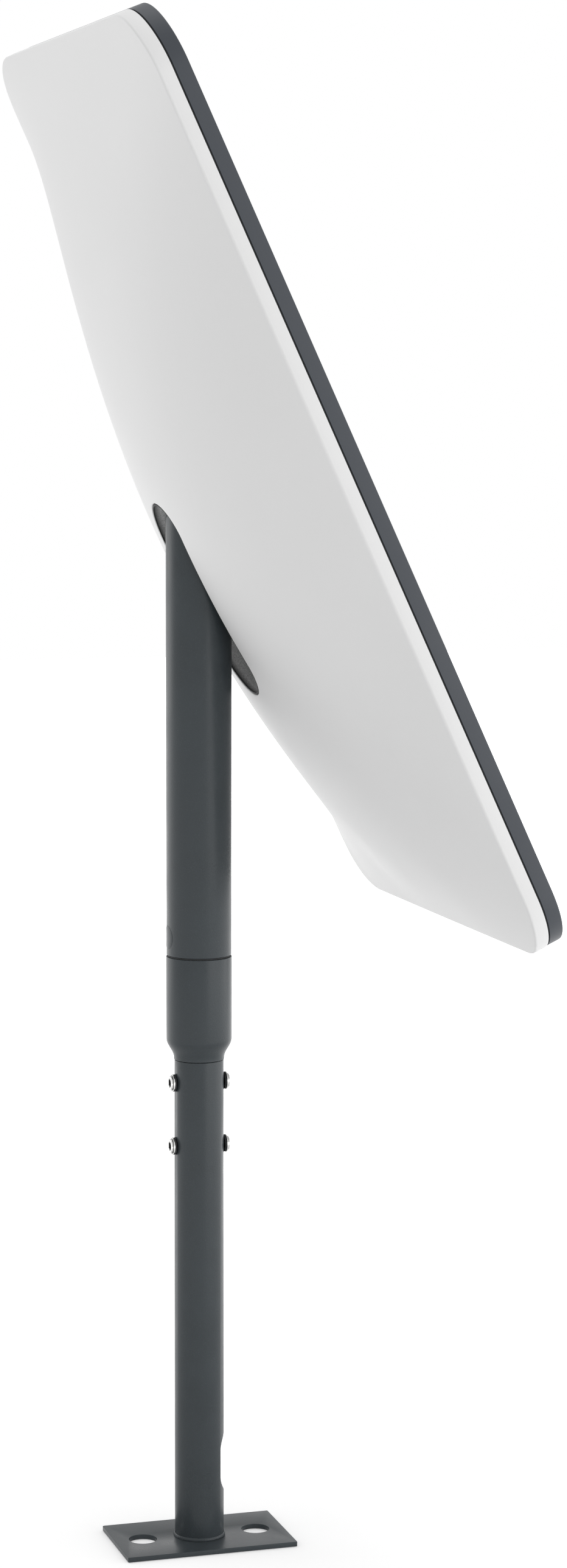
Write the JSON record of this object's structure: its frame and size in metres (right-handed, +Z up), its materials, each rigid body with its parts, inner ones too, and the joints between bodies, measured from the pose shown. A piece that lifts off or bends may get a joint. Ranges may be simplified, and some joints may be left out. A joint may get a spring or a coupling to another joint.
{
  "type": "flat panel antenna on a pole",
  "caption": "Flat rectangular antenna panel with a domed white back on a turning, tilting round mast, held by a collar on a dark pole with a bolt-down base plate.",
  "frame": {"origin": "middle of the base plate's underside, where it is bolted down", "axes": "+Z up the pole, +X the way the panel faces seen from above, Y along the tilt axis"},
  "size_m": [0.231, 0.3028, 0.8038],
  "materials": {
    "white_shell": "fine matt, UV-stable moulded plastic",
    "white_front": "smooth matt front cover",
    "dark_powder_coat": "satin powder coat, dark grey",
    "dark_rim": "satin moulded plastic, dark grey",
    "grey_liner": "grained moulded plastic, grey",
    "black_rubber": "matt",
    "bright_steel": "stainless, bright",
    "bearing_steel": "ground",
    "cast_aluminium": "as cast",
    "brass": "plain brass",
    "gear_plastic": "natural acetal",
    "circuit_board": "solder mask",
    "core_foam": "closed-cell foam",
    "lead_black": "plain"
  },
  "bodies": {
    "mount": {"base_plate": "dark_powder_coat", "weld_bead": "dark_powder_coat", "pole_tube": "dark_powder_coat", "mast_collar": "dark_powder_coat", "clamp_screw_1": "bright_steel", "clamp_screw_2": "bright_steel", "clamp_screw_3": "bright_steel", "clamp_screw_4": "bright_steel", "clamp_washer_1": "black_rubber", "clamp_washer_2": "black_rubber", "clamp_washer_3": "black_rubber", "clamp_washer_4": "black_rubber", "clamp_nut_1": "brass", "clamp_nut_2": "brass", "clamp_nut_3": "brass", "clamp_nut_4": "brass", "cable_socket": "lead_black", "azimuth_bearing_lower": "bearing_steel", "azimuth_bearing_upper": "bearing_steel", "bearing_spacer": "cast_aluminium", "azimuth_ring_gear": "gear_plastic", "seam_seal": "black_rubber"},
    "mast": {"mast_tube": "dark_powder_coat", "mast_head": "cast_aluminium", "head_screw": "bright_steel", "bearing_retainer": "cast_aluminium", "azimuth_motor_plate": "cast_aluminium", "azimuth_gearmotor": "cast_aluminium", "lead_plug": "lead_black", "mast_lead": "lead_black", "tilt_shaft": "bright_steel", "shaft_clip": "bearing_steel", "tilt_sector": "cast_aluminium"},
    "azimuth_pinion": {"azimuth_pinion": "brass"},
    "panel": {"back_shell": "white_shell", "slot_liner": "grey_liner", "perimeter_gasket": "black_rubber", "bezel": "dark_rim", "front_radome": "white_front", "foam_core": "core_foam", "antenna_board": "circuit_board", "chassis_plate": "cast_aluminium", "control_board": "circuit_board", "shield_can": "bright_steel", "bearing_block_left": "cast_aluminium", "bearing_block_right": "cast_aluminium", "tilt_bush_left": "brass", "tilt_bush_right": "brass", "tilt_motor_bracket": "cast_aluminium", "tilt_gearmotor": "cast_aluminium", "panel_screw_1": "bright_steel", "panel_screw_2": "bright_steel", "panel_screw_3": "bright_steel", "panel_screw_4": "bright_steel", "panel_screw_5": "bright_steel", "panel_screw_6": "bright_steel", "panel_screw_7": "bright_steel", "panel_screw_8": "bright_steel"},
    "tilt_pinion": {"tilt_pinion": "brass"}
  },
  "joints": [
    {"name": "azimuth", "type": "hinge", "parent": "mount", "child": "mast", "pos_m": [0, 0, 0.32], "axis": [0, 0, 1], "range_deg": [-170, 170]},
    {"name": "azimuth_pinion_spin", "type": "hinge", "parent": "mast", "child": "azimuth_pinion", "pos_m": [0.005, 0, 0.355], "axis": [0, 0, 1], "range_deg": [-455, 455]},
    {"name": "tilt", "type": "hinge", "parent": "mast", "child": "panel", "pos_m": [0, 0, 0.5484], "axis": [0, -1, 0], "range_deg": [-4, 64]},
    {"name": "tilt_pinion_spin", "type": "hinge", "parent": "panel", "child": "tilt_pinion", "pos_m": [0.0232, 0, 0.55922], "axis": [0, -1, 0], "range_deg": [-20, 280]}
  ],
  "couplings": [
    {"joint": "azimuth_pinion_spin", "follows": "azimuth", "ratio": -2.6667},
    {"joint": "tilt_pinion_spin", "follows": "tilt", "ratio": 4.3333}
  ]
}
